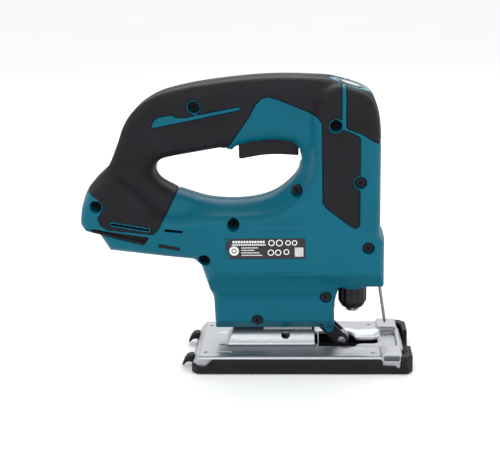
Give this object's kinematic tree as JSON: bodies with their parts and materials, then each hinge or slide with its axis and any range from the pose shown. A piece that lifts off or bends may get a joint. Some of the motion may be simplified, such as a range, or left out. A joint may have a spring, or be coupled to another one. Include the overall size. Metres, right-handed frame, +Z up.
{
  "type": "cordless jigsaw",
  "caption": "Cordless D-handle jigsaw with a tilting pressed-steel base, tool-less blade clamp, roller blade guide and an open battery socket at the rear.",
  "frame": {"origin": "bottom centre of the bounding box, on the sole of the base", "axes": "+X forward in the cutting direction, +Y to the tool's left, +Z up"},
  "size_m": [0.2321, 0.076, 0.2066],
  "materials": {
    "housing_plastic": "moulded, fine satin texture",
    "grip_elastomer": "matt over-moulded elastomer",
    "black_plastic": "moulded, satin",
    "base_steel": "zinc plated, satin",
    "dark_steel": "black oxide",
    "bright_steel": "bright plated",
    "ground_steel": "ground",
    "spring_steel": "drawn wire",
    "bronze": "sintered bronze",
    "copper": "bare copper",
    "cast_alloy": "die cast",
    "magnet": "sintered",
    "lead_rubber": "insulated lead",
    "label_film": "printed film",
    "badge_film": "glossy insert",
    "lens": "clear"
  },
  "bodies": {
    "tool_body": {"housing_right": "housing_plastic", "housing_left": "housing_plastic", "grip_right": "grip_elastomer", "grip_left": "grip_elastomer", "nose_cap_right": "grip_elastomer", "nose_cap_left": "grip_elastomer", "wire_guard": "spring_steel", "housing_screws": "dark_steel", "case_screws": "dark_steel", "top_badge": "badge_film", "name_plate": "label_film", "lamp_lens": "lens", "base_seat": "cast_alloy", "battery_rails": "ground_steel", "terminal_block": "black_plastic", "terminal_blades": "copper", "switch_body": "black_plastic", "trigger_pin": "ground_steel", "trigger_spring": "spring_steel", "power_leads": "lead_rubber", "motor_leads": "lead_rubber", "motor_can": "ground_steel", "motor_magnets": "magnet", "motor_end_cap": "black_plastic", "rear_motor_bearing": "bright_steel", "front_motor_bearing": "bright_steel", "motor_brushes": "magnet", "gear_shaft": "ground_steel", "gear_case": "cast_alloy", "gear_case_cover": "ground_steel", "lower_bush": "bronze", "upper_bush": "bronze", "plunger_seal": "grip_elastomer", "arm_pin": "ground_steel", "clamp_shoe": "ground_steel", "clamp_bolt": "bright_steel"},
    "rotor": {"armature": "ground_steel", "commutator": "copper", "fan": "black_plastic", "pinion": "ground_steel"},
    "gear": {"drive_gear": "ground_steel", "gear_bush": "bronze", "crank_pin": "ground_steel"},
    "plunger": {"plunger": "ground_steel", "blade_holder": "bright_steel"},
    "sleeve": {"clamp_sleeve": "dark_steel"},
    "roller_arm": {"roller_arm": "dark_steel", "roller_pin": "bright_steel"},
    "roller": {"guide_roller": "ground_steel"},
    "trigger": {"trigger": "black_plastic"},
    "button": {"lock_off_button": "black_plastic"},
    "lever": {"orbit_lever": "black_plastic"},
    "base": {"base_plate": "base_steel", "cover_plate": "black_plastic"}
  },
  "joints": [
    {"name": "rotor_spin", "type": "hinge", "parent": "tool_body", "child": "rotor", "pos_m": [0, 0, 0.0835], "axis": [1, 0, 0], "continuous": true},
    {"name": "gear_spin", "type": "hinge", "parent": "tool_body", "child": "gear", "pos_m": [0.06, 0, 0.1067], "axis": [1, 0, 0], "continuous": true},
    {"name": "plunger_stroke", "type": "slide", "parent": "tool_body", "child": "plunger", "axis": [0, 0, 1], "range_m": [0, 0.018]},
    {"name": "sleeve_turn", "type": "hinge", "parent": "plunger", "child": "sleeve", "pos_m": [0.0745, 0, 0.047], "axis": [0, 0, 1], "range_deg": [0, 60], "stiffness_Nm_per_rad": 0.05, "springref_deg": -11.46},
    {"name": "roller_arm_swing", "type": "hinge", "parent": "tool_body", "child": "roller_arm", "pos_m": [0.052, 0, 0.028], "axis": [0, -1, 0], "range_deg": [0, 6]},
    {"name": "roller_spin", "type": "hinge", "parent": "roller_arm", "child": "roller", "pos_m": [0.0665, 0, 0.013], "axis": [0, 1, 0], "continuous": true},
    {"name": "trigger_pull", "type": "hinge", "parent": "tool_body", "child": "trigger", "pos_m": [0.0415, 0, 0.1625], "axis": [0, 1, 0], "range_deg": [0, 8], "stiffness_Nm_per_rad": 0.8, "springref_deg": -6.88, "deforming": ["trigger_spring"]},
    {"name": "button_press", "type": "slide", "parent": "tool_body", "child": "button", "axis": [0, -1, 0], "range_m": [0, 0.003], "stiffness_N_per_m": 600, "springref_m": -0.001},
    {"name": "orbit_select", "type": "hinge", "parent": "tool_body", "child": "lever", "pos_m": [0.038, 0.0193, 0.047], "axis": [0, 1, 0], "range_deg": [0, 90]},
    {"name": "base_tilt", "type": "hinge", "parent": "tool_body", "child": "base", "pos_m": [0.04, 0, 0.01], "axis": [1, 0, 0], "range_deg": [-45, 45]}
  ],
  "couplings": [
    {"joint": "gear_spin", "follows": "rotor_spin", "ratio": -0.23404}
  ]
}
